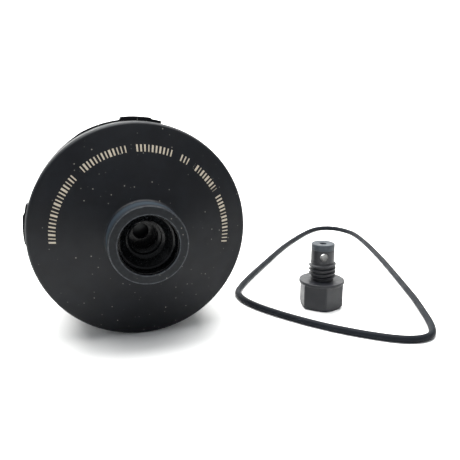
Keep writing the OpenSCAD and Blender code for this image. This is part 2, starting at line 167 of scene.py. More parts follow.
def helix(section: list[tuple[float, float]], pitch: float, turns: float, steps: int, fade: float,
          fade_depth: float) -> Mesh:
    """Sweep a closed section along a helix round the Z axis.

    Args:
        section: Radius and height of each point of the section at the helix's start, in millimetres.
        pitch: Rise of one turn, in millimetres.
        turns: Number of turns.
        steps: Steps in one turn.
        fade: Share of a turn over which each end runs out.
        fade_depth: How far the ends move towards the axis, or away from it if negative, in millimetres.

    Returns:
        A closed mesh, in metres.
    """
    bm = bmesh.new()
    first = [bm.verts.new((r * MM, 0, z * MM)) for r, z in section]
    bm.faces.new(first)
    count = round(turns * steps)
    rise = pitch * MM / steps
    bmesh.ops.spin(bm, geom=bm.verts[:] + bm.edges[:] + bm.faces[:], cent=(0, 0, 0), axis=(0, 0, 1),
                   dvec=(0, 0, rise), angle=FULL_TURN * count / steps, steps=count,
                   use_merge=False, use_duplicate=False)
    middle = sum(z for _, z in section) / len(section) * MM
    total = pitch * turns * MM
    for v in bm.verts:
        along = min(max((v.co.z - middle) / total, 0.0), 1.0) * turns
        near_end = min(along, turns - along) / fade if fade > 0 else 1.0
        radius = math.hypot(v.co.x, v.co.y)
        share = (radius - fade_depth * MM * (1 - min(near_end, 1.0))) / radius
        v.co.x *= share
        v.co.y *= share
    bmesh.ops.recalc_face_normals(bm, faces=bm.faces)
    return bm


def wire_coil(mean_r: float, top_r: float, wire_r: float, low: float, high: float, turns: float) -> Mesh:
    """Make a coil spring of round wire round the Z axis, with an even pitch and plain cut ends.

    Args:
        mean_r: Radius of the wire's middle at the lower end, in millimetres.
        top_r: The same at the upper end.
        wire_r: Radius of the wire.
        low: Lowest height.
        high: Highest height.
        turns: Number of turns.

    Returns:
        A closed mesh, in metres.
    """
    steps = 40
    count = round(turns * steps)
    bm = bmesh.new()
    bmesh.ops.create_circle(bm, segments=14, radius=wire_r * MM, cap_ends=True)
    stand = Matrix.Translation((mean_r * MM, 0, (low + wire_r) * MM)) @ Matrix.Rotation(math.pi / 2, 4, "X")
    bmesh.ops.transform(bm, matrix=stand, verts=bm.verts)
    rise = (high - low - 2 * wire_r) * MM
    bmesh.ops.spin(bm, geom=bm.verts[:] + bm.edges[:] + bm.faces[:], cent=(0, 0, 0), axis=(0, 0, 1),
                   dvec=(0, 0, rise / count), angle=FULL_TURN * turns, steps=count,
                   use_merge=False, use_duplicate=False)
    for v in bm.verts:
        along = min(max((v.co.z - (low + wire_r) * MM) / rise, 0.0), 1.0)
        radius = math.hypot(v.co.x, v.co.y)
        share = (radius + (top_r - mean_r) * MM * along) / radius
        v.co.x *= share
        v.co.y *= share
    bmesh.ops.recalc_face_normals(bm, faces=bm.faces)
    return bm


def combine(base: Piece, others: Iterable[Piece], operation: str) -> Piece:
    """Join, cut or intersect solids exactly.

    Args:
        base: The solid that is changed.
        others: The solids that are used on it; they are removed.
        operation: UNION, DIFFERENCE or INTERSECT.

    Returns:
        The base, with its new mesh.
    """
    tools = list(others)
    for other in tools:
        step = base.modifiers.new(operation.lower(), "BOOLEAN")
        step.operation = operation
        step.solver = "EXACT"
        step.object = other
    graph = bpy.context.evaluated_depsgraph_get()
    made = bpy.data.meshes.new_from_object(base.evaluated_get(graph), depsgraph=graph)
    base.modifiers.clear()
    base.data = made
    for other in tools:
        bpy.data.objects.remove(other)
    return base


def reshape(base: Piece, change: Callable[[Mesh], None], sharp_deg: float = 32) -> Piece:
    """Run a change on an object's mesh and set its smooth and sharp corners again."""
    bm = bmesh.new()
    bm.from_mesh(base.data)
    change(bm)
    bm.to_mesh(base.data)
    bm.free()
    base.data.shade_smooth()
    base.data.set_sharp_from_angle(angle=math.radians(sharp_deg))
    return base


def round_corners(bm: Mesh, size_mm: float, corner_deg: float = 40, segments: int = 2) -> None:
    """Round every corner of a mesh that is sharper than an angle.

    Args:
        bm: The mesh.
        size_mm: Width of the rounding.
        corner_deg: Smallest corner that is rounded.
        segments: Segments across the rounding.
    """
    corners = [e for e in bm.edges if e.is_manifold and e.calc_face_angle(0) > math.radians(corner_deg)]
    bmesh.ops.bevel(bm, geom=corners, offset=size_mm * MM, offset_type="OFFSET", segments=segments,
                    profile=0.5, affect="EDGES", clamp_overlap=True, material=-1)


def softened(name: str, node: str, size_mm: float, corner_deg: float = 40) -> Piece:
    """Copy a CAD node, weld it and round its corners.

    Args:
        name: The new piece's name.
        node: The CAD node.
        size_mm: Width of the rounding; none if zero.
        corner_deg: Smallest corner that is rounded.

    Returns:
        The new object.
    """
    bm = bmesh.new()
    bm.from_mesh(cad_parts[node].data)
    bmesh.ops.remove_doubles(bm, verts=bm.verts, dist=WELD)
    if size_mm > 0:
        # Edges far shorter than the rounding would hold it back
        bmesh.ops.remove_doubles(bm, verts=bm.verts, dist=0.02 * MM)
        bmesh.ops.dissolve_degenerate(bm, edges=bm.edges, dist=0.01 * MM)
        bmesh.ops.dissolve_limit(bm, angle_limit=math.radians(0.5), verts=bm.verts, edges=bm.edges)
        round_corners(bm, size_mm, corner_deg)
    return finish_mesh(bm, name)


def dress(piece: Piece, material: Material, body: str, nodes: Iterable[str]) -> None:
    """Give a piece its material, body and CAD nodes, and report it.

    Args:
        piece: The finished piece.
        material: Its material.
        body: The CAD body that it rides on.
        nodes: The CAD nodes that it stands for.
    """
    piece.data.materials.clear()
    piece.data.materials.append(material)
    even = piece.modifiers.new("Even shading", "WEIGHTED_NORMAL")
    even.keep_sharp = True
    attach(piece, body)
    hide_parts(*nodes)
    LOG.info("%s: %d faces, rides on %s", piece.name, len(piece.data.polygons), body)


# ---------------------------------------------------------------- finishes


class Grain(Enum):
    """How a surface's fine relief looks."""

    MOULDED = "moulded"
    DRAWN = "drawn"
    FIBRE = "fibre"


@dataclass(frozen=True)
class Finish:
    """A surface finish: its colours, gloss and fine relief."""

    name: str
    colour: str
    second: str
    roughness: float
    ior: float = 1.5
    metallic: float = 0.0
    grain: Grain = Grain.MOULDED
    grain_mm: float = 0.35
    relief_mm: float = 0.006
    mottle_mm: float = 9.0
    mottle_share: float = 0.6
    rough_swing: float = 0.05
    sheen: float = 0.0
    specular: float = 0.5

    def centre_mm(self) -> Vector:
        """Where the pattern's own origin lies, in millimetres."""
        return Vector((0, 0, 0))

    def colours(self, tree: Tree, place: Socket) -> Socket:
        """Build the finish's colour.

        Args:
            tree: The material's node tree.
            place: Place on the piece, in metres.

        Returns:
            The colour socket.
        """
        cloud = add(tree, "ShaderNodeTexNoise",
                    {"Vector": place, "Scale": per_metre(self.mottle_mm), "Detail": 5.0, "Roughness": 0.6})
        spread = add(tree, "ShaderNodeMapRange", {"Value": cloud.outputs["Fac"], "From Min": 0.35,
                                                  "From Max": 0.7,
                                                  "To Min": 0.0, "To Max": self.mottle_share},
                     interpolation_type="SMOOTHSTEP")
        mixed = add(tree, "ShaderNodeMix", {0: spread.outputs["Result"], 6: linear(self.colour),
                                            7: linear(self.second)}, data_type="RGBA")
        return mixed.outputs[2]

    def heights(self, tree: Tree, place: Socket) -> Socket:
        """Build the finish's fine relief.

        Args:
            tree: The material's node tree.
            place: Place on the piece, in metres.

        Returns:
            The height socket, from zero to one.
        """
        if self.grain is Grain.DRAWN:
            stretch = add(tree, "ShaderNodeMapping", {"Vector": place, "Scale": (1.0, 1.0, 0.08)})
            lines = add(tree, "ShaderNodeTexNoise", {"Vector": stretch.outputs["Vector"],
                                                     "Scale": per_metre(self.grain_mm), "Detail": 3.0})
            return lines.outputs["Fac"]
        if self.grain is Grain.FIBRE:
            warp = add(tree, "ShaderNodeTexNoise", {"Vector": place, "Scale": per_metre(self.grain_mm * 4),
                                                    "Detail": 4.0, "Distortion": 3.0})
            fuzz = add(tree, "ShaderNodeTexNoise", {"Vector": place, "Scale": per_metre(self.grain_mm),
                                                    "Detail": 2.0})
            both = add(tree, "ShaderNodeMath", {0: warp.outputs["Fac"], 1: fuzz.outputs["Fac"]},
                       operation="MULTIPLY")
            return both.outputs["Value"]
        pebble = add(tree, "ShaderNodeTexNoise", {"Vector": place, "Scale": per_metre(self.grain_mm),
                                                  "Detail": 3.0, "Roughness": 0.55})
        return pebble.outputs["Fac"]

    def roughnesses(self, tree: Tree, place: Socket) -> Socket:
        """Build the finish's gloss, a little uneven from handling.

        Args:
            tree: The material's node tree.
            place: Place on the piece, in metres.

        Returns:
            The roughness socket.
        """
        patches = add(tree, "ShaderNodeTexNoise", {"Vector": place, "Scale": per_metre(self.mottle_mm * 0.6),
                                                   "Detail": 3.0})
        swing = add(tree, "ShaderNodeMapRange", {"Value": patches.outputs["Fac"], "From Min": 0.3,
                                                 "From Max": 0.7,
                                                 "To Min": self.roughness - self.rough_swing,
                                                 "To Max": self.roughness + self.rough_swing})
        return swing.outputs["Result"]

    def material(self) -> Material:
        """Build the material, or return it if it is there already."""
        made = bpy.data.materials.get(self.name)
        if made:
            return made
        made = bpy.data.materials.new(self.name)
        made.use_nodes = True
        tree = made.node_tree
        shader = tree.nodes["Principled BSDF"]
        place = add(tree, "ShaderNodeTexCoord").outputs["Object"]
        shift = add(tree, "ShaderNodeMapping", {"Vector": place, "Location": -self.centre_mm() * MM})
        place = shift.outputs["Vector"]
        relief = add(tree, "ShaderNodeBump", {"Height": self.heights(tree, place), "Strength": 1.0,
                                              "Distance": self.relief_mm * MM})
        tree.links.new(self.colours(tree, place), shader.inputs["Base Color"])
        tree.links.new(self.roughnesses(tree, place), shader.inputs["Roughness"])
        tree.links.new(relief.outputs["Normal"], shader.inputs["Normal"])
        shader.inputs["IOR"].default_value = self.ior
        shader.inputs["Metallic"].default_value = self.metallic
        shader.inputs["Specular IOR Level"].default_value = self.specular
        shader.inputs["Sheen Weight"].default_value = self.sheen
        return made


@dataclass(frozen=True)
class CanisterFinish(Finish):
    """Glass-filled polyamide of the canister: fine fibre specks, a laser-marked band, hub and mouth edges
    lighter with wear and a painted highlight, a painted highlight on the disc's rim, and a painted
    reflection on the hub's side.
    """

    length: float = 54.0
    speck: str = "#7c7973"
    mark: str = "#a89f8f"
    mark_low: float = 33.5
    mark_high: float = 36.2
    mark_pitch_deg: float = 2.5
    mark_groups: tuple[tuple[float, float], ...] = (
        (-10, 25), (29, 51), (56, 63), (68, 93), (98, 130), (136, 183))
    hub_r: float = 15.2
    mouth_r: float = 11.65
    hub_face: float = -22.5
    hub_foot: float = -12.0
    disc_r: float = 45.0
    # Lighter edge colour: wear and a painted highlight on the hub's and mouth's edges, a painted highlight
    # on the disc's rim
    wear_and_highlight: str = "#4a4e52"
    hub_tone: str = "#14171a"
    # Blue grey of the painted reflection on the hub's side
    hub_side_sky_reflection: str = "#28323a"

    def centre_mm(self) -> Vector:
        """The middle of the disc's rim plane."""
        return Vector((0, -self.length, 0))

    def band(self, tree: Tree, value: Socket, middle_mm: float,
             half_mm: float) -> Socket:
        """Mask that is one where a length is near a middle value and falls smoothly to zero.

        Args:
            tree: The material's node tree.
            value: The length, in metres.
            middle_mm: Where the mask is one, in millimetres.
            half_mm: Distance over which it falls to zero.

        Returns:
            The mask's socket.
        """
        off = add(tree, "ShaderNodeMath", {0: value, 1: middle_mm * MM}, operation="SUBTRACT")
        far = add(tree, "ShaderNodeMath", {0: off.outputs["Value"]}, operation="ABSOLUTE")
        mask = add(tree, "ShaderNodeMapRange", {"Value": far.outputs["Value"], "From Min": 0.0,
                                                "From Max": half_mm * MM, "To Min": 1.0, "To Max": 0.0},
                   interpolation_type="SMOOTHSTEP")
        return mask.outputs["Result"]

    def times(self, tree: Tree, *masks: Socket) -> Socket:
        """Multiply masks together."""
        total = masks[0]
        for mask in masks[1:]:
            total = add(tree, "ShaderNodeMath", {0: total, 1: mask}, operation="MULTIPLY").outputs["Value"]
        return total

    def marks(self, tree: Tree, radius: Socket, x: Socket,
              z: Socket, depth: Socket) -> Socket:
        """Mask of the laser-marked band: plain upright bars in groups, along an arc.

        Args:
            tree: The material's node tree.
            radius: Distance from the axis, in metres.
            x: Place across the disc.
            z: Place up the disc.
            depth: Place along the axis, in metres from the rim plane.

        Returns:
            The mask's socket.
        """
        turn = add(tree, "ShaderNodeMath", {0: z, 1: x}, operation="ARCTAN2")
        # The angle's jump lies at the bottom of the disc, away from the marks
        wrapped = add(tree, "ShaderNodeMath", {0: turn.outputs["Value"], 1: math.radians(270),
                                               2: math.radians(-90)}, operation="WRAP")
        degrees = add(tree, "ShaderNodeMath", {0: wrapped.outputs["Value"], 1: 180 / math.pi},
                      operation="MULTIPLY")
        in_group = None
        for start, end in self.mark_groups:
            inside = add(tree, "ShaderNodeMath", {0: degrees.outputs["Value"], 1: (start + end) / 2,
                                                  2: (end - start) / 2}, operation="COMPARE")
            in_group = inside.outputs["Value"] if in_group is None else add(
                tree, "ShaderNodeMath", {0: in_group, 1: inside.outputs["Value"]}, operation="MAXIMUM"
            ).outputs["Value"]
        cells = add(tree, "ShaderNodeMath", {0: degrees.outputs["Value"], 1: self.mark_pitch_deg},
                    operation="DIVIDE")
        number = add(tree, "ShaderNodeMath", {0: cells.outputs["Value"]}, operation="FLOOR")
        chance = add(tree, "ShaderNodeTexWhiteNoise", {"W": number.outputs["Value"]}, noise_dimensions="1D")
        width = add(tree, "ShaderNodeMapRange",
                    {"Value": chance.outputs["Value"], "To Min": 0.12, "To Max": 0.3})
        within = add(tree, "ShaderNodeMath", {0: cells.outputs["Value"]}, operation="FRACT")
        bar = add(tree, "ShaderNodeMath", {0: within.outputs["Value"], 1: 0.5, 2: width.outputs["Result"]},
                  operation="COMPARE")
        ring = add(tree, "ShaderNodeMath", {0: radius, 1: (self.mark_low + self.mark_high) / 2 * MM,
                                            2: (self.mark_high - self.mark_low) / 2 * MM},
                   operation="COMPARE")
        front = add(tree, "ShaderNodeMath", {0: depth, 1: 0.0}, operation="LESS_THAN")
        return self.times(tree, in_group, *(mask.outputs["Value"] for mask in (bar, ring, front)))

    def colours(self, tree: Tree, place: Socket) -> Socket:
        """Add the specks, the marks, the painted reflection on the hub's side and the edges lightened by
        wear and a painted highlight to the plain colour.
        """
        base = super().colours(tree, place)
        parts = add(tree, "ShaderNodeSeparateXYZ", {"Vector": place})
        x, depth, z = (parts.outputs[axis] for axis in ("X", "Y", "Z"))
        flat = add(tree, "ShaderNodeCombineXYZ", {"X": x, "Y": 0.0, "Z": z})
        reach = add(tree, "ShaderNodeVectorMath", {0: flat.outputs["Vector"]}, operation="LENGTH")
        radius = reach.outputs["Value"]

        hub_face = self.band(tree, depth, self.hub_face, 1.2)
        dirt = add(tree, "ShaderNodeTexNoise", {"Vector": place, "Scale": per_metre(1.6), "Detail": 6.0,
                                                "Roughness": 0.7})
        patch = add(tree, "ShaderNodeMapRange", {"Value": dirt.outputs["Fac"], "From Min": 0.42,
                                                 "From Max": 0.62,
                                                 "To Min": 0.25, "To Max": 1.0},
                    interpolation_type="SMOOTHSTEP")
        face_tone = add(tree, "ShaderNodeMix", {0: self.times(tree, hub_face, patch.outputs["Result"]),
                                                6: base, 7: linear(self.hub_tone)}, data_type="RGBA")

        # Specks of dust and glass fibre, 0.3 to 0.7 mm across
        dust = add(tree, "ShaderNodeTexVoronoi", {"Vector": place, "Scale": per_metre(2.2)})
        near = add(tree, "ShaderNodeMapRange", {"Value": dust.outputs["Distance"], "From Min": 0.06,
                                                "From Max": 0.15, "To Min": 1.0, "To Max": 0.0})
        pick = add(tree, "ShaderNodeSeparateColor", {"Color": dust.outputs["Color"]})
        some = add(tree, "ShaderNodeMath", {0: pick.outputs["Red"], 1: 0.55}, operation="GREATER_THAN")
        specks = self.times(tree, near.outputs["Result"], some.outputs["Value"], pick.outputs["Green"])
        specked = add(tree, "ShaderNodeMix", {0: specks, 6: face_tone.outputs[2], 7: linear(self.speck)},
                      data_type="RGBA")

        # Painted reflection: the hub's side is painted blue grey all round, as the sky reflects in it
        reflection_band = self.times(tree, self.band(tree, radius, self.hub_r, 0.6),
                          self.band(tree, depth, (self.hub_face + self.hub_foot) / 2 + 0.6, 5.6))
        with_reflection = add(tree, "ShaderNodeMix", {0: reflection_band, 6: specked.outputs[2], 7: linear(self.hub_side_sky_reflection)},
                    data_type="RGBA")

        # The hub's and mouth's edges are lighter with wear and a painted highlight
        rims = [(self.hub_r - 0.3, 0.35), (self.mouth_r + 0.2, 0.35)]
        wear_and_highlight = None
        for ring_r, half in rims:
            edge = self.times(tree, self.band(tree, radius, ring_r, half), hub_face)
            wear_and_highlight = edge if wear_and_highlight is None else add(tree, "ShaderNodeMath", {0: wear_and_highlight, 1: edge},
                                                 operation="MAXIMUM").outputs["Value"]
        # Painted highlight on the disc's rim, at half strength
        rim_highlight = self.times(tree, self.band(tree, radius, self.disc_r - 0.5, 0.4),
                         self.band(tree, depth, 0.4, 0.6))
        half_rim_highlight = add(tree, "ShaderNodeMath", {0: rim_highlight, 1: 0.45}, operation="MULTIPLY")
        wear_and_highlight = add(tree, "ShaderNodeMath", {0: wear_and_highlight, 1: half_rim_highlight.outputs["Value"]}, operation="MAXIMUM")
        edge_patches = add(tree, "ShaderNodeMapRange", {"Value": dirt.outputs["Fac"], "From Min": 0.35,
                                               "From Max": 0.6,
                                               "To Min": 0.2, "To Max": 0.9})
        edged = add(tree, "ShaderNodeMix",
                    {0: self.times(tree, wear_and_highlight.outputs["Value"], edge_patches.outputs["Result"]),
                                            6: with_reflection.outputs[2], 7: linear(self.wear_and_highlight)}, data_type="RGBA")
        marked = add(tree, "ShaderNodeMix", {0: self.marks(tree, radius, x, z, depth), 6: edged.outputs[2],
                                             7: linear(self.mark)}, data_type="RGBA")
        return marked.outputs[2]


# ---------------------------------------------------------------- canister


@dataclass
class Canister:
    """The moulded canister with its hub, lugs and collar. Sizes in millimetres, depth from the rim plane."""

    length: float = 54.0
    disc_r: float = 45.0
    wall: float = 3.0
    cone_rise: float = 12.0
    hub_r: float = 15.2
    hub_h: float = 10.5
    mouth_r: float = 11.65
    lip_t: float = 0.9
    rim_round: float = 1.4
    wall_draft: float = 0.7
    collar_len: float = 10.0
    collar_r: float = 41.4
    collar_wall: float = 3.8
    ledge_step: float = 0.6
    plate_depth: float = 46.0
    groove_depth: float = 1.76
    groove_w: float = 2.4
    clip_groove_w: float = 1.45
    lug_starts: tuple[float, ...] = (75, 165, 300)
    lug_angle: float = 22
    lug_lead: float = 6
    lug_lead_drop: float = 0.5
    lug_reach: float = 1.8
    rail_angle: float = 21
    rail_reach: float = 0.65
    rail_fade: float = 10
    lug_front: float = 13.0
    lug_t: float = 4.5
    insert_r: float = 10.02
    insert_head_r: float = 13.02
    insert_top: float = 1.4
    insert_head_len: float = 9.0
    boss_end: float = 3.5
    steps: int = 360

    @property
    def along(self) -> Matrix:
        """Turns a shape made along Z, with its rim plane at zero, into its place along Y."""
        return Matrix.Translation((0, -self.length * MM, 0)) @ Matrix.Rotation(-math.pi / 2, 4, "X")

    @property
    def hub_face(self) -> float:
        """Depth of the hub's face."""
        return -self.cone_rise - self.hub_h

    def outline(self) -> list[OutlinePoint]:
        """Half outline of the shell, from the mouth's lip round the outside and back inside."""
        face = self.hub_face
        collar = self.length - self.collar_len
        ledge_r = self.collar_r - self.collar_wall - self.ledge_step
        in_r = self.disc_r - self.wall
        collar_in = self.collar_r - self.collar_wall
        groove_top = collar + 1.2
        clip = self.plate_depth + 4.05
        cone_in = -self.cone_rise + self.wall
        return [
            (self.mouth_r, face, 0.35), (self.hub_r, face, 0.6), (self.hub_r, -self.cone_rise, 0.9),
            (self.disc_r, 0.1, 1.3), (self.disc_r, self.lug_front, 0),
            (self.disc_r, self.lug_front + self.lug_t, 0),
            (self.disc_r - self.wall_draft, collar, 0.5), (self.collar_r, collar, 0.2),
            (self.collar_r, groove_top, 0.15), (self.collar_r - self.groove_depth, groove_top, 0.1),
            (self.collar_r - self.groove_depth, groove_top + self.groove_w, 0.1),
            (self.collar_r, groove_top + self.groove_w, 0.15),
            (self.collar_r, self.length, 0.7), (collar_in, self.length, 0.4),
            (collar_in, clip + self.clip_groove_w, 0.1), (collar_in + 1.6, clip + self.clip_groove_w, 0.1),
            (collar_in + 1.6, clip, 0.1), (collar_in, clip, 0.1),
            (collar_in, self.plate_depth, 0), (ledge_r, self.plate_depth, 0.3), (ledge_r, collar, 0.5),
            (in_r, collar - 3, 0.8), (in_r, self.wall + 2, 1.5),
            (in_r - 2, cone_in + self.cone_rise - 1.6, 1.5),
            (self.hub_r, cone_in, 0.4), (self.insert_head_r, cone_in, 0.8),
            (self.insert_head_r, self.boss_end, 0.4), (self.insert_r, self.boss_end, 0.2),
            (self.insert_r, face + self.insert_top + self.insert_head_len, 0),
            (self.insert_head_r, face + self.insert_top + self.insert_head_len, 0),
            (self.insert_head_r, face + self.insert_top, 0),
            (self.mouth_r + 0.65, face + self.insert_top, 0),
            (self.mouth_r + 0.65, face + self.lip_t, 0), (self.mouth_r, face + self.lip_t, 0.1),
        ]

    def lug_height(self, angle: float) -> float:
        """How far a lug stands out at an angle past its start, in millimetres."""
        level_end = self.lug_angle + self.rail_angle
        if angle <= self.lug_lead:
            return self.lug_reach - self.lug_lead_drop
        if angle <= self.lug_angle:
            return self.lug_reach
        if angle <= level_end:
            return self.rail_reach
        return self.rail_reach * max(0.0, 1 - (angle - level_end) / self.rail_fade)

    def raise_lug(self, bm: Mesh, start: float) -> None:
        """Draw one lug and its rail out of the wall.

        Args:
            bm: The shell's mesh, in its place.
            start: Angle of the lug's leading edge, seen from the disc.
        """
        span = self.lug_angle + self.rail_angle + self.rail_fade
        front = (self.lug_front - self.length) * MM
        back = (self.lug_front + self.lug_t - self.length) * MM

        def angle_of(point: Vector) -> float:
            return (math.degrees(math.atan2(point.z, point.x)) - start + 0.5) % 360 - 0.5

        chosen = []
        for f in bm.faces:
            middle = f.calc_center_median()
            if math.hypot(middle.x, middle.z) < (self.disc_r - 1) * MM or not front < middle.y < back:
                continue
            if 0 < angle_of(middle) < span:
                chosen.append(f)
        raised = bmesh.ops.extrude_face_region(bm, geom=chosen)
        bmesh.ops.delete(bm, geom=chosen, context="FACES")
        top = {v for v in raised["geom"] if isinstance(v, bmesh.types.BMVert)}
        for v in top:
            share = 1 + self.lug_height(angle_of(v.co)) / self.disc_r
            v.co.x *= share
            v.co.z *= share
        bmesh.ops.remove_doubles(bm, verts=bm.verts, dist=WELD)
        corners = [e for e in bm.edges if e.is_manifold and e.calc_face_angle(0) > math.radians(50)
                   and all(math.hypot(v.co.x, v.co.z) > (self.disc_r + 0.2) * MM for v in e.verts)]
        bmesh.ops.bevel(bm, geom=corners, offset=0.22 * MM, offset_type="OFFSET", segments=2, profile=0.5,
                        affect="EDGES", clamp_overlap=True, material=-1)

    def build(self) -> Piece:
        """Build the shell."""
        bm = turned(self.outline(), self.steps, 4)
        bmesh.ops.transform(bm, matrix=self.along, verts=bm.verts)
        for start in self.lug_starts:
            self.raise_lug(bm, start)
        return finish_mesh(bm, "canister_shell")

    def finish(self) -> CanisterFinish:
        """Glass-filled polyamide, moulded: satin black, finely pebbled, with pale specks of fibre."""
        return CanisterFinish("Polyamide, glass filled, moulded black", "#090b0f", "#0f1217", 0.5, 1.53,
                              specular=0.16, grain_mm=0.4, relief_mm=0.01, length=self.length,
                              hub_r=self.hub_r,
                              mouth_r=self.mouth_r, hub_face=self.hub_face, hub_foot=-self.cone_rise,
                              disc_r=self.disc_r)

    def make(self) -> None:
        """Build the shell and dress it."""
        dress(self.build(), self.finish().material(), "root", ["bowl"])


@dataclass
class PortInsert:
    """The threaded insert in the hub. Sizes in millimetres, depth from the hub's face."""

    canister: Canister
    recess_r: float = 11.3
    recess_taper: float = 0.25
    cone_depth: float = 6.5
    throat_r: float = 7.55
    throat_depth: float = 9.5
    thread_depth: float = 12.5
    thread_len: float = 6.0
    thread_r: float = 5.75
    thread_h: float = 1.0
    pitch: float = 2.0
    lead_pitch: float = 1.3
    nose_r: float = 6.35
    seat_depth: float = 24.9
    seat_r: float = 3.2
    length: float = 28.0
    body_r: float = 10.0
    head_r: float = 13.0
    head_len: float = 9.0

    def outline(self) -> list[OutlinePoint]:
        """Half outline, with two fine steps at the head of the cone."""
        top = self.canister.insert_top
        root_r = self.thread_r + self.thread_h
        tapered = self.recess_r - self.recess_taper
        return [
            (self.recess_r, top, 0.2), (self.head_r, top, 0), (self.head_r, top + self.head_len, 0.3),
            (self.body_r, top + self.head_len, 0), (self.body_r, self.length, 0.5),
            (self.seat_r, self.length, 0.3), (self.seat_r, self.seat_depth, 0.2),
            (self.nose_r, self.seat_depth, 0.2), (self.nose_r, self.thread_depth + self.thread_len, 0),
            (root_r, self.thread_depth + self.thread_len - 0.6, 0), (root_r, self.thread_depth, 0.2),
            (self.throat_r + 0.5, self.thread_depth - 0.4, 0.2),
            (self.throat_r + 0.5, self.throat_depth + 0.5, 0),
            (self.throat_r, self.throat_depth, 0.15),
            (tapered - 0.9, self.cone_depth + 0.35, 0.1), (tapered - 0.9, self.cone_depth + 0.05, 0.1),
            (tapered - 0.1, self.cone_depth - 0.4, 0.12), (tapered, 3.6, 0.1), (tapered - 0.12, 3.3, 0.1),
            (tapered + 0.05, 3.0, 0.1),
        ]

    def ridge(self, crest_r: float, root_r: float, start: float, pitch: float, turns: float) -> Mesh:
        """Make one internal thread's ridge.

        Args:
            crest_r: Inner radius of the ridge.
            root_r: Radius where it is rooted in the wall.
            start: Depth of its first turn.
            pitch: Its pitch.
            turns: Its turns.

        Returns:
            A closed mesh along Z.
        """
        section = [(root_r, start - 0.42 * pitch), (crest_r, start - 0.1 * pitch),
                   (crest_r, start + 0.1 * pitch),
                   (root_r, start + 0.42 * pitch)]
        bm = helix(section, pitch, turns, 64, 0.4, crest_r - root_r)
        # Turned so that its ends lie between the wall's own edges
        bmesh.ops.transform(bm, matrix=Matrix.Rotation(math.radians(101.1), 4, "Z"), verts=bm.verts)
        return bm

    def build(self) -> Piece:
        """Build the insert with both threads."""
        place = self.canister.along @ Matrix.Translation((0, 0, self.canister.hub_face * MM))
        parts = [turned(self.outline(), 144)]
        root_r = self.thread_r + self.thread_h + 0.1
        parts.append(self.ridge(self.thread_r, root_r, self.thread_depth + 0.9, self.pitch, 2.3))
        lead_start = self.throat_depth + 0.7
        parts.append(self.ridge(self.throat_r, self.throat_r + 0.6, lead_start, self.lead_pitch, 1.4))
        bodies = []
        for i, bm in enumerate(parts):
            bmesh.ops.transform(bm, matrix=place, verts=bm.verts)
            bodies.append(finish_mesh(bm, "port_insert_shell" if i == 0 else f"ridge_{i}"))
        return reshape(combine(bodies[0], bodies[1:], "UNION"), lambda bm: None)

    def make(self) -> None:
        """Build the insert and dress it."""
        # Acetal, turned smooth: near black, with soft highlights
        gloss = Finish("Acetal, turned gloss black", "#050607", "#08090b", 0.26, 1.48, grain_mm=0.8,
                       relief_mm=0.001, mottle_mm=3, rough_swing=0.05, specular=0.25)
        dress(self.build(), gloss.material(), "root", ["port_insert"])


# ---------------------------------------------------------------- shared shapes


def depths(node: str, length: float = 54.0) -> tuple[float, float]:
    """Least and greatest depth of a CAD node behind the rim plane, in millimetres."""
    low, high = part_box(node)
    return low.y / MM + length, high.y / MM + length


def outer_radius(node: str) -> float:
    """Greatest radius of a CAD node round the canister's axis, in millimetres."""
    low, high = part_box(node)
    return max(-low.x, high.x) / MM


def round_seal(section_r: float, ring_r: float, depth: float) -> Mesh:
    """Make a ring of round section round the Z axis.

    Args:
        section_r: Radius of the section, in millimetres.
        ring_r: Radius of the section's middle.
        depth: Height of the section's middle.

    Returns:
        A closed mesh, in metres.
    """
    bm = bmesh.new()
    bmesh.ops.create_circle(bm, segments=20, radius=section_r * MM, cap_ends=False)
    stand = Matrix.Translation((ring_r * MM, 0, depth * MM)) @ Matrix.Rotation(math.pi / 2, 4, "X")
    bmesh.ops.transform(bm, matrix=stand, verts=bm.verts)
    bmesh.ops.spin(bm, geom=bm.verts[:] + bm.edges[:], cent=(0, 0, 0), axis=(0, 0, 1), dvec=(0, 0, 0),
                   angle=FULL_TURN, steps=200, use_merge=True, use_duplicate=False)
    bmesh.ops.recalc_face_normals(bm, faces=bm.faces)
    return bm


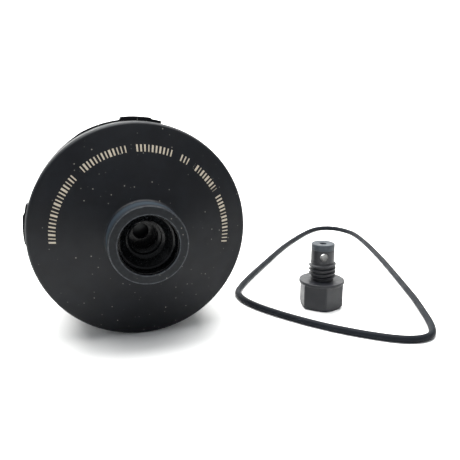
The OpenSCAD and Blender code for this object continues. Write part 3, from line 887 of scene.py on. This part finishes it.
class Stock(Enum):
    """Finishes that several pieces share."""

    # Polyamide, moulded: satin, slightly pebbled
    BLACK_POLYAMIDE = Finish("Polyamide, moulded black", "#1a1b1e", "#212327", 0.45, 1.53, grain_mm=0.5,
                             relief_mm=0.008, specular=0.4)
    # The same, lighter, as a strainer tube is moulded
    GREY_POLYAMIDE = Finish("Polyamide, moulded dark grey", "#2b2d31", "#33363a", 0.45, 1.53, grain_mm=0.5,
                            relief_mm=0.008)
    # The same, coloured: an even satin green
    GREEN_POLYAMIDE = Finish("Polyamide, moulded green", "#2f6f55", "#2a6350", 0.48, 1.53, grain_mm=0.5)
    # Nitrile rubber, moulded: dull black with a faint bloom
    NITRILE = Finish("Nitrile rubber, moulded black", "#141517", "#1c1d1f", 0.62, 1.52, grain_mm=0.6,
                     relief_mm=0.012, sheen=0.08)
    # Silicone: brick red, soft and slightly waxy
    SILICONE = Finish("Silicone rubber, moulded brick red", "#9c3f2b", "#8c3624", 0.5, 1.41, grain_mm=0.9)
    # Spring steel, zinc plated: a metal with fine drawing lines
    ZINC_STEEL = Finish("Spring steel, zinc plated", "#b4b7bb", "#9ea2a8", 0.33, 1.5, metallic=1.0,
                        grain=Grain.DRAWN, grain_mm=0.25, relief_mm=0.004)
    # Stainless wire: a brighter metal, smooth along its length
    STAINLESS_WIRE = Finish("Stainless steel wire, drawn", "#c3c5c9", "#adb0b5", 0.25, 1.5, metallic=1.0,
                            grain=Grain.DRAWN, grain_mm=0.2, relief_mm=0.003)
    # Cellulose filter paper, resin treated: fibrous, matt and a little fuzzy
    FILTER_PAPER = Finish("Cellulose filter paper, resin treated", "#c99b57", "#b6863f", 0.88, 1.5,
                          grain=Grain.FIBRE, grain_mm=0.3, relief_mm=0.05, mottle_mm=4, sheen=0.2)
    # Polypropylene: milky off-white, satin
    POLYPROPYLENE = Finish("Polypropylene, thin moulded", "#dfdacb", "#d3cdbb", 0.42, 1.49, grain_mm=0.7)
    # Acetal: smooth black with a low gloss
    ACETAL = Finish("Acetal, moulded black", "#1b1c1f", "#222428", 0.36, 1.48, grain_mm=0.7)


@dataclass
class Inner:
    """A piece on the canister's axis, and how it is dressed."""

    name: str
    node: str
    stock: Stock
    slot: str
    body: str = "root"


# ---------------------------------------------------------------- open end


@dataclass
class OpenEnd:
    """The inlet plate, its clip and the seals of the open end. Sizes in millimetres."""

    canister: Canister
    corner: float = 0.3
    collar_seal_r: float = 1.1
    plate_seal_r: float = 0.95
    outlet_seal_r: float = 0.6

    def seal(self, item: Inner, section_r: float) -> None:
        """Build and dress one round seal where its CAD node lies.

        Args:
            item: The piece.
            section_r: Radius of its section.
        """
        low, high = depths(item.node)
        bm = round_seal(section_r, outer_radius(item.node) - section_r, (low + high) / 2)
        bmesh.ops.transform(bm, matrix=self.canister.along, verts=bm.verts)
        dress(finish_mesh(bm, item.name), item.stock.value.material(), item.body, [item.node])

    def make(self) -> None:
        """Build and dress the pieces of the open end."""
        dress(softened("inlet_plate_body", "inlet_plate", self.corner),
              Stock.BLACK_POLYAMIDE.value.material(),
              "root", ["inlet_plate"])
        # Stamped, so its corners are left sharp
        dress(softened("plate_clip", "plate_retaining_ring", 0), Stock.ZINC_STEEL.value.material(),
              "root", ["plate_retaining_ring"])
        self.seal(Inner("collar_oring", "collar_seal", Stock.NITRILE, "seal_rubber"), self.collar_seal_r)
        self.seal(Inner("plate_oring", "plate_seal", Stock.NITRILE, "seal_rubber"), self.plate_seal_r)
        self.seal(Inner("outlet_oring", "outlet_seal", Stock.NITRILE, "seal_rubber"), self.outlet_seal_r)


# ---------------------------------------------------------------- element and valves


@dataclass
class Element:
    """The pleated filter element with its caps, tube, wrap and grommet. Sizes in millimetres."""

    canister: Canister
    pleats: int = 48
    inner_r: float = 16.4
    paper_t: float = 0.45
    fold: float = 0.7
    cap_corner: float = 0.35
    rib_corner: float = 0.12
    spring_wire_r: float = 0.9
    spring_turns: float = 3.5

    def media(self) -> Piece:
        """Fold the paper: a zigzag with rounded folds, drawn out along the axis and given its thickness."""
        low, high = depths("pleated_media")
        outer = outer_radius("pleated_media") - self.paper_t
        bm = bmesh.new()
        folds = []
        for i in range(2 * self.pleats):
            turn = FULL_TURN * i / (2 * self.pleats)
            r = (outer if i % 2 == 0 else self.inner_r + self.paper_t) * MM
            folds.append(bm.verts.new((r * math.cos(turn), r * math.sin(turn), low * MM)))
        bm.faces.new(folds)
        bmesh.ops.bevel(bm, geom=folds, offset=self.fold * MM, offset_type="OFFSET", segments=4, profile=0.5,
                        affect="VERTICES", clamp_overlap=True, material=-1)
        bmesh.ops.delete(bm, geom=bm.faces[:], context="FACES_ONLY")
        run = bmesh.ops.extrude_edge_only(bm, edges=bm.edges[:])
        moved = [v for v in run["geom"] if isinstance(v, bmesh.types.BMVert)]
        bmesh.ops.translate(bm, verts=moved, vec=(0, 0, (high - low) * MM))
        bmesh.ops.recalc_face_normals(bm, faces=bm.faces)
        bmesh.ops.solidify(bm, geom=bm.faces[:] + bm.edges[:] + bm.verts[:], thickness=self.paper_t * MM)
        bmesh.ops.recalc_face_normals(bm, faces=bm.faces)
        if bm.calc_volume(signed=True) < 0:
            bmesh.ops.reverse_faces(bm, faces=bm.faces)
        bmesh.ops.transform(bm, matrix=self.canister.along, verts=bm.verts)
        return finish_mesh(bm, "media_pleats", 50)

    def make(self) -> None:
        """Build and dress the element's pieces."""
        dress(self.media(), Stock.FILTER_PAPER.value.material(), "root", ["pleated_media"])
        cut = [
            (Inner("media_wrap", "outer_wrap", Stock.POLYPROPYLENE, "wrap_plastic"), self.rib_corner),
            (Inner("media_tube", "centre_tube", Stock.GREY_POLYAMIDE, "tube_plastic"), self.rib_corner * 2),
            (Inner("element_cap_front", "front_end_cap", Stock.GREEN_POLYAMIDE, "cap_plastic"),
             self.cap_corner),
            (Inner("element_cap_rear", "rear_end_cap", Stock.GREEN_POLYAMIDE, "cap_plastic"),
             self.cap_corner),
            (Inner("cap_grommet", "element_grommet", Stock.NITRILE, "seal_rubber"), self.cap_corner * 0.6),
            (Inner("spring_washer", "spring_seat", Stock.ZINC_STEEL, "ring_steel"), self.cap_corner * 0.6),
        ]
        for item, corner in cut:
            dress(softened(item.name, item.node, corner), item.stock.value.material(), item.body,
                  [item.node])
        low, high = depths("element_spring")
        mean_r = outer_radius("element_spring") - self.spring_wire_r
        bm = wire_coil(mean_r, mean_r, self.spring_wire_r, low, high, self.spring_turns)
        bmesh.ops.transform(bm, matrix=self.canister.along, verts=bm.verts)
        dress(finish_mesh(bm, "element_coil"), Stock.STAINLESS_WIRE.value.material(), "root",
              ["element_spring"])


@dataclass
class Valves:
    """The bypass valve in the element's tube and the check valve behind the plate. Sizes in millimetres."""

    canister: Canister
    poppet_r: float = 8.2
    poppet_t: float = 1.4
    stem_r: float = 2.0
    bypass_wire_r: float = 0.4
    bypass_turns: float = 4.5
    check_wire_r: float = 0.25
    check_turns: float = 2.0
    check_lip: float = 0.6
    lip_w: float = 1.5
    check_in_r: float = 11.9
    check_flare: float = 1.5
    corner: float = 0.15

    def poppet(self) -> Piece:
        """Turn the bypass poppet: a flat disc on a stem with a rounded end."""
        low, high = depths("bypass_poppet")
        top = low + self.poppet_t
        bm = turned([(0, low, 0), (self.poppet_r, low, 0.3), (self.poppet_r, top, 0.25),
                     (self.stem_r, top, 0.5), (self.stem_r, high, 0.6), (0, high, 0)], 96)
        bmesh.ops.transform(bm, matrix=self.canister.along, verts=bm.verts)
        return finish_mesh(bm, "bypass_valve_poppet")

    def check_plate(self) -> Piece:
        """Turn the check disc, with its sealing lip."""
        low, high = depths("check_disc")
        out_r = outer_radius("check_disc")
        in_r = self.check_in_r
        face = low + self.check_lip
        bm = turned([(in_r, face, 0.2), (out_r - self.lip_w, face, 0.2), (out_r - self.lip_w, low, 0.2),
                     (out_r, low, 0.3), (out_r, high, 0.3), (in_r, high, 0.2)], 144)
        bmesh.ops.transform(bm, matrix=self.canister.along, verts=bm.verts)
        return finish_mesh(bm, "check_valve_disc")

    def coil(self, item: Inner, ends: tuple[float, float], wire_r: float, turns: float) -> None:
        """Build a valve spring.

        Args:
            item: The piece; its body is the one that the spring pushes.
            ends: Radius of the wire's middle at the lower and the upper end.
            wire_r: Radius of the wire.
            turns: Number of turns.
        """
        low, high = depths(item.node)
        bm = wire_coil(*ends, wire_r, low, high, turns)
        bmesh.ops.transform(bm, matrix=self.canister.along, verts=bm.verts)
        piece = finish_mesh(bm, item.name)
        piece.data.materials.append(item.stock.value.material())
        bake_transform(piece)
        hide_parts(item.node)
        LOG.info("%s: bends between root and %s", item.name, item.body)

    def make(self) -> None:
        """Build and dress both valves."""
        dress(softened("bypass_cage", "bypass_seat", self.corner), Stock.GREY_POLYAMIDE.value.material(),
              "root",
              ["bypass_seat"])
        dress(softened("bypass_washer", "bypass_retainer", self.corner / 2),
              Stock.ZINC_STEEL.value.material(), "root",
              ["bypass_retainer"])
        dress(self.poppet(), Stock.ACETAL.value.material(), "poppet", ["bypass_poppet"])
        dress(self.check_plate(), Stock.SILICONE.value.material(), "check", ["check_disc"])
        coil_r = outer_radius("bypass_spring") - self.bypass_wire_r
        self.coil(Inner("bypass_coil", "bypass_spring", Stock.STAINLESS_WIRE, "spring_steel", "poppet"),
                  (coil_r, coil_r), self.bypass_wire_r, self.bypass_turns)
        wide_r = outer_radius("check_spring") - self.check_wire_r
        self.coil(Inner("check_coil", "check_spring", Stock.STAINLESS_WIRE, "spring_steel", "check"),
                  (wide_r - self.check_flare, wide_r), self.check_wire_r, self.check_turns)


# ---------------------------------------------------------------- loose pieces


@dataclass
class DrainPlug:
    """The loose drain plug, standing on its head. Sizes in millimetres, heights from the floor."""

    floor_z: float
    flats: float = 19.0
    head_h: float = 12.1
    chamfer: float = 1.3
    corner_trim: float = 0.2
    head_turn: float = 16
    flange_r: float = 11.0
    flange_t: float = 1.5
    crest_r: float = 6.55
    pitch: float = 2.0
    turns: float = 5
    nose_r: float = 5.6
    nose_len: float = 8.2
    tip_h: float = 3.0
    post_inset: float = 1.5
    well_r: float = 1.6
    well_depth: float = 1.6
    cross_r: float = 2.0
    cross_turn: float = 70.4
    cross_below_tip: float = 1.0

    @property
    def place(self) -> Matrix:
        """Moves a shape made round the Z axis on zero to where the plug stands."""
        low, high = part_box("drain_plug")
        middle = (low + high) / 2
        return Matrix.Translation((middle.x, middle.y, self.floor_z))

    @property
    def thread_z(self) -> float:
        """Height where the thread begins."""
        return self.head_h + self.flange_t

    @property
    def nose_z(self) -> float:
        """Height where the nose begins."""
        return self.thread_z + self.turns * self.pitch

    @property
    def height(self) -> float:
        """Height of the whole plug."""
        return self.nose_z + self.nose_len

    def head(self) -> Piece:
        """Build the hexagonal head, its corners turned off by a round chamfer."""
        corner_r = self.flats / 2 / math.cos(math.radians(30))
        bm = bmesh.new()
        bmesh.ops.create_cone(bm, cap_ends=True, segments=6, radius1=corner_r * MM, radius2=corner_r * MM,
                              depth=self.head_h * MM)
        upright = [e for e in bm.edges if abs(e.verts[0].co.z - e.verts[1].co.z) > WELD]
        bmesh.ops.bevel(bm, geom=upright, offset=0.3 * MM, offset_type="OFFSET", segments=3, profile=0.5,
                        affect="EDGES", clamp_overlap=True, material=-1)
        turn = Matrix.Rotation(math.radians(self.head_turn - 30), 4, "Z")
        lift = Matrix.Translation((0, 0, self.head_h / 2 * MM))
        bmesh.ops.transform(bm, matrix=turn @ lift, verts=bm.verts)
        prism = finish_mesh(bm, "plug_head")
        trim_r = corner_r - self.corner_trim
        blank = turned([(0, 0, 0), (trim_r - self.chamfer, 0, 0.2), (trim_r, self.chamfer, 0.2),
                        (trim_r, self.head_h, 0), (0, self.head_h, 0)], 144)
        return combine(prism, [finish_mesh(blank, "plug_blank")], "INTERSECT")

    def shank(self) -> Piece:
        """Turn the flange, the core under the thread, the nose and its post."""
        root_r = self.crest_r - 0.55 * self.pitch
        tip_z = self.height - self.tip_h
        top_z = self.height - self.well_depth
        post_r = self.nose_r - self.post_inset
        sunk = self.head_h - 1
        bm = turned([
            (0, sunk, 0), (self.flats / 2 - 1, sunk, 0), (self.flats / 2 - 1, self.head_h, 0),
            (self.flange_r, self.head_h, 0.3), (self.flange_r, self.thread_z, 0.4),
            (root_r, self.thread_z, 0.3), (root_r, self.nose_z - 1.0, 0.1),
            (self.nose_r, self.nose_z - 0.8, 0.15),
            (self.nose_r, tip_z, 0.12), (post_r, tip_z, 0), (post_r, top_z, 0.1), (0, top_z, 0),
        ], 144)
        return finish_mesh(bm, "plug_shank")

    def thread(self) -> Piece:
        """Wind the plug's thread."""
        root_r = self.crest_r - 0.55 * self.pitch - 0.15
        section = [(root_r, -0.4 * self.pitch), (self.crest_r, -0.09 * self.pitch),
                   (self.crest_r, 0.09 * self.pitch), (root_r, 0.4 * self.pitch)]
        start = self.thread_z + 0.55 * self.pitch
        bm = helix([(r, z + start) for r, z in section], self.pitch, self.turns - 0.95, 60, 0.3, 1.0)
        turn = Matrix.Rotation(math.radians(150), 4, "Z")
        bmesh.ops.transform(bm, matrix=turn, verts=bm.verts)
        return finish_mesh(bm, "plug_thread")

    def cross_hole(self) -> Piece:
        """Build the drill for the cross hole."""
        height = self.height - self.tip_h - self.cross_r - self.cross_below_tip
        bm = bmesh.new()
        bmesh.ops.create_cone(bm, cap_ends=True, segments=48, radius1=self.cross_r * MM,
                              radius2=self.cross_r * MM, depth=3 * self.nose_r * MM)
        lay = Matrix.Rotation(math.radians(self.cross_turn), 4, "Z") @ Matrix.Rotation(math.pi / 2, 4, "Y")
        bmesh.ops.transform(bm, matrix=Matrix.Translation((0, 0, height * MM)) @ lay, verts=bm.verts)
        return finish_mesh(bm, "plug_drill")

    def build(self) -> Piece:
        """Join the plug's body and drill it."""
        body = combine(self.head(), [self.shank(), self.thread()], "UNION")
        combine(body, [self.cross_hole()], "DIFFERENCE")

        def settle(bm: Mesh) -> None:
            bmesh.ops.remove_doubles(bm, verts=bm.verts, dist=WELD)
            bmesh.ops.transform(bm, matrix=self.place, verts=bm.verts)

        body.name = body.data.name = "drain_plug_body"
        return reshape(body, settle)

    def tip(self) -> Piece:
        """Turn the rubber tip: a cap with a softly dished face and a small well."""
        post_r = self.nose_r - self.post_inset + 0.02
        base = self.height - self.tip_h + 0.02
        floor = self.height - self.well_depth + 0.02
        bm = turned([(post_r, base, 0), (self.nose_r, base, 0.2), (self.nose_r, self.height, 0.55),
                     (self.well_r + 0.9, self.height - 0.12, 0.3), (self.well_r, self.height - 0.3, 0.15),
                     (self.well_r - 0.2, floor, 0), (post_r, floor, 0)], 96, 4)
        bmesh.ops.transform(bm, matrix=self.place, verts=bm.verts)
        return finish_mesh(bm, "plug_rubber_tip")

    def make(self) -> None:
        """Build and dress the plug and its tip."""
        # Polyamide, moulded: charcoal grey, satin, with a fine even pebble
        body = Finish("Polyamide, moulded charcoal", "#15161b", "#1b1d22", 0.45, 1.53, grain_mm=0.45,
                      relief_mm=0.012, mottle_mm=3.5, specular=0.35)
        # Nitrile rubber: lighter blue grey with a dull skin
        tip = Finish("Nitrile rubber, blue grey", "#2c3238", "#363d44", 0.55, 1.52, grain_mm=0.35,
                     relief_mm=0.01, mottle_mm=2, specular=0.35)
        dress(self.build(), body.material(), "plug", ["drain_plug"])
        dress(self.tip(), tip.material(), "plug", ["plug_tip_seal"])


@dataclass
class LooseSeal:
    """The loose housing seal, lying on the floor round the plug. Sizes in millimetres."""

    floor_z: float
    section_r: float = 1.55
    route: list[tuple[float, float]] = field(default_factory=lambda: [
        (140, -44.5), (160, 10), (174, 55), (178, 80), (170, 97), (152, 94), (118, 62), (85, 22.5),
        (58, -12.5), (52, -28), (58, -47.5), (76, -73.5), (97, -92.5), (111, -96.5), (120.5, -88.5),
        (132, -64.5)])

    def build(self) -> Piece:
        """Sweep the seal's round section along its route."""
        line = bpy.data.curves.new("seal_line", "CURVE")
        line.dimensions = "3D"
        line.bevel_depth = self.section_r * MM
        line.bevel_resolution = 6
        line.resolution_u = 14
        spline = line.splines.new("BEZIER")
        spline.bezier_points.add(len(self.route) - 1)
        spline.use_cyclic_u = True
        height = self.floor_z + self.section_r * MM
        places = [Vector((x * MM, y * MM, height)) for x, y in self.route]
        for i, point in enumerate(spline.bezier_points):
            along = (places[(i + 1) % len(places)] - places[i - 1]) / 6
            point.handle_left_type = point.handle_right_type = "FREE"
            point.co = places[i]
            point.handle_left = places[i] - along
            point.handle_right = places[i] + along
        swept = bpy.data.objects.new("seal_sweep", line)
        bpy.context.scene.collection.objects.link(swept)
        graph = bpy.context.evaluated_depsgraph_get()
        mesh = bpy.data.meshes.new_from_object(swept.evaluated_get(graph), depsgraph=graph)
        bm = bmesh.new()
        bm.from_mesh(mesh)
        bpy.data.objects.remove(swept)
        bpy.data.meshes.remove(mesh)
        bmesh.ops.remove_doubles(bm, verts=bm.verts, dist=WELD)
        bmesh.ops.recalc_face_normals(bm, faces=bm.faces)
        return finish_mesh(bm, "housing_seal", 60)

    def make(self) -> None:
        """Build and dress the seal."""
        # Moulded rubber: blue black and dull
        rubber = Finish("Rubber, moulded blue black", "#12151a", "#191c22", 0.6, 1.52, grain_mm=0.5,
                        relief_mm=0.012, mottle_mm=12, rough_swing=0.08, specular=0.1)
        dress(self.build(), rubber.material(), "ring", ["seal_ring"])


# ---------------------------------------------------------------- stage


@dataclass
class Studio:
    """Pale sweep, soft lights and the camera."""

    floor_z: float
    lens: float = 39.13
    eye_mm: tuple[float, float, float] = (-24.4, -257.1, 48.7)
    azimuth: float = -17.18
    pitch: float = 13.34
    floor: str = "#f4f4f2"
    wall_y: float = 1.1
    sweep_r: float = 0.5

    def sweep(self) -> None:
        """Build the floor that curves up into a wall behind the object."""
        bm = bmesh.new()
        line = [bm.verts.new((-3, y, self.floor_z)) for y in (-2.5, self.wall_y)]
        top = bm.verts.new((-3, self.wall_y, self.floor_z + 2.2))
        bm.edges.new(line)
        bm.edges.new((line[1], top))
        bmesh.ops.bevel(bm, geom=[line[1]], offset=self.sweep_r, offset_type="OFFSET", segments=16,
                        profile=0.5,
                        affect="VERTICES", clamp_overlap=True, material=-1)
        run = bmesh.ops.extrude_edge_only(bm, edges=bm.edges[:])
        moved = [v for v in run["geom"] if isinstance(v, bmesh.types.BMVert)]
        bmesh.ops.translate(bm, verts=moved, vec=(6, 0, 0))
        bmesh.ops.recalc_face_normals(bm, faces=bm.faces)
        made = finish_mesh(bm, "studio_sweep")
        paper = Finish("Studio paper, matt", self.floor, self.floor, 0.9, grain_mm=2.0, relief_mm=0.01)
        made.data.materials.append(paper.material())

    def light(self, name: str, place: tuple[float, float, float], aim: tuple[float, float, float],
              size: tuple[float, float], power: float, tint: str) -> None:
        """Add one soft box.

        Args:
            name: The light's name.
            place: Where it stands, in metres.
            aim: The point that it faces.
            size: Its width and height, in metres.
            power: Its power, in watts.
            tint: Its colour, as sRGB hex.
        """
        lamp = bpy.data.lights.new(name, "AREA")
        lamp.shape = "RECTANGLE"
        lamp.size, lamp.size_y = size
        lamp.energy = power
        lamp.color = linear(tint)[:3]
        made = bpy.data.objects.new(name, lamp)
        made.location = place
        made.rotation_euler = (Vector(aim) - Vector(place)).to_track_quat("-Z", "Y").to_euler()
        bpy.context.scene.collection.objects.link(made)

    def camera(self) -> None:
        """Place the camera."""
        a, e = math.radians(self.azimuth), math.radians(self.pitch)
        ahead = Vector((-math.sin(a) * math.cos(e), math.cos(a) * math.cos(e), -math.sin(e)))
        data = bpy.data.cameras.new("camera")
        data.lens = self.lens
        data.sensor_width = 36
        data.clip_start = 0.01
        made = bpy.data.objects.new("camera", data)
        made.location = Vector(self.eye_mm) * MM
        made.rotation_euler = ahead.to_track_quat("-Z", "Y").to_euler()
        bpy.context.scene.collection.objects.link(made)
        bpy.context.scene.camera = made

    def make(self) -> None:
        """Build the stage."""
        self.sweep()
        self.camera()
        self.light("overhead", (0, 0.2, 1.1), (0, 0.05, 0), (1.6, 1.2), 34, "#ffffff")
        self.light("left", (-0.77, -0.54, 0.58), (0, -0.06, 0), (0.3, 0.3), 0.25, "#eef4ff")
        self.light("right", (0.9, -0.33, 0.46), (0.02, -0.06, 0), (0.3, 0.3), 0.25, "#fff6ea")
        self.light("wall", (0, 0.4, 1.3), (0, 1.1, 0.3), (2.0, 0.6), 30, "#ffffff")
        world = bpy.data.worlds.new("Studio air")
        world.use_nodes = True
        back = world.node_tree.nodes["Background"]
        back.inputs["Color"].default_value = linear("#e6eaf0")
        back.inputs["Strength"].default_value = 0.5
        bpy.context.scene.world = world
        bpy.context.scene.view_settings.view_transform = "Standard"


# ---------------------------------------------------------------- main


def main() -> None:
    """Build every sub-assembly in order and report each piece."""
    logging.basicConfig(level=logging.INFO, format="%(name)s %(message)s")
    canister = Canister()
    canister.make()
    PortInsert(canister).make()
    OpenEnd(canister).make()
    Element(canister).make()
    Valves(canister).make()
    floor_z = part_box("seal_ring")[0].z
    DrainPlug(floor_z).make()
    LooseSeal(floor_z).make()
    Studio(floor_z).make()
    bpy.context.view_layer.update()


if __name__ == "__main__":
    main()
